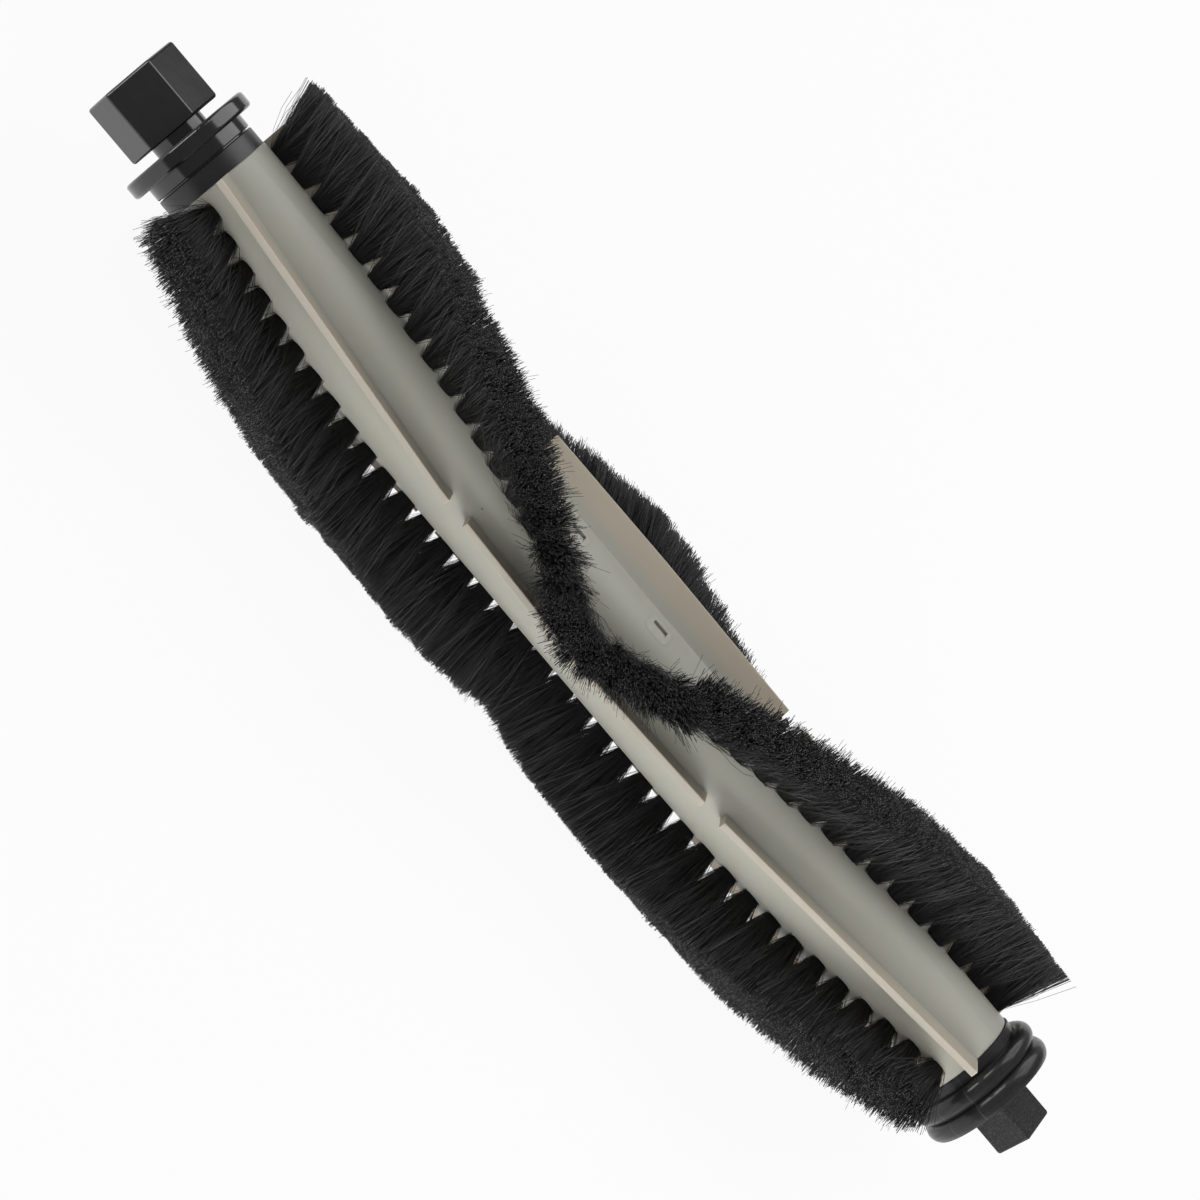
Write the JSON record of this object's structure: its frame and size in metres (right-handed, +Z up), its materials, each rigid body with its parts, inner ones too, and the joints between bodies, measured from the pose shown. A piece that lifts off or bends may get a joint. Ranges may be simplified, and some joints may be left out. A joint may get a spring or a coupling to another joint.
{
  "type": "robot vacuum roller brush",
  "caption": "Robot vacuum roller brush: a finned plastic core with chevron rows of black bristle tufts, a square drive post at one end and a free-turning hexagonal bearing block at the other.",
  "frame": {"origin": "centre of the square drive post's end face, on the roller's axis", "axes": "+X along the roller's axis towards the drive post, +Z up as the brush lies on its bristles"},
  "size_m": [0.1799, 0.0392, 0.0386],
  "materials": {
    "core_grey_plastic": "satin moulded",
    "cap_black_plastic": "glossy moulded",
    "block_black_plastic": "glossy moulded",
    "bristle_nylon": "fine filament",
    "anchor_wire": "flat wire",
    "pin_steel": "ground",
    "bush_bronze": "sintered",
    "washer_nylon": "plain"
  },
  "bodies": {
    "roller": {"roller_core": "core_grey_plastic", "drive_end_cap": "cap_black_plastic", "idle_end_cap": "cap_black_plastic", "axle_pin": "pin_steel", "thrust_washer": "washer_nylon", "bristles_row_1_bearing_limb": "bristle_nylon", "bristles_row_1_drive_limb": "bristle_nylon", "bristles_row_2_bearing_limb": "bristle_nylon", "bristles_row_2_drive_limb": "bristle_nylon", "bristles_row_3_bearing_limb": "bristle_nylon", "bristles_row_3_drive_limb": "bristle_nylon", "anchors_row_1_bearing_limb": "anchor_wire", "anchors_row_1_drive_limb": "anchor_wire", "anchors_row_2_bearing_limb": "anchor_wire", "anchors_row_2_drive_limb": "anchor_wire", "anchors_row_3_bearing_limb": "anchor_wire", "anchors_row_3_drive_limb": "anchor_wire"},
    "bearing": {"bearing_block": "block_black_plastic", "bearing_bush": "bush_bronze"}
  },
  "joints": [
    {"name": "bearing_spin", "type": "hinge", "parent": "roller", "child": "bearing", "pos_m": [-0.17265, 0, 0], "axis": [1, 0, 0], "continuous": true}
  ]
}
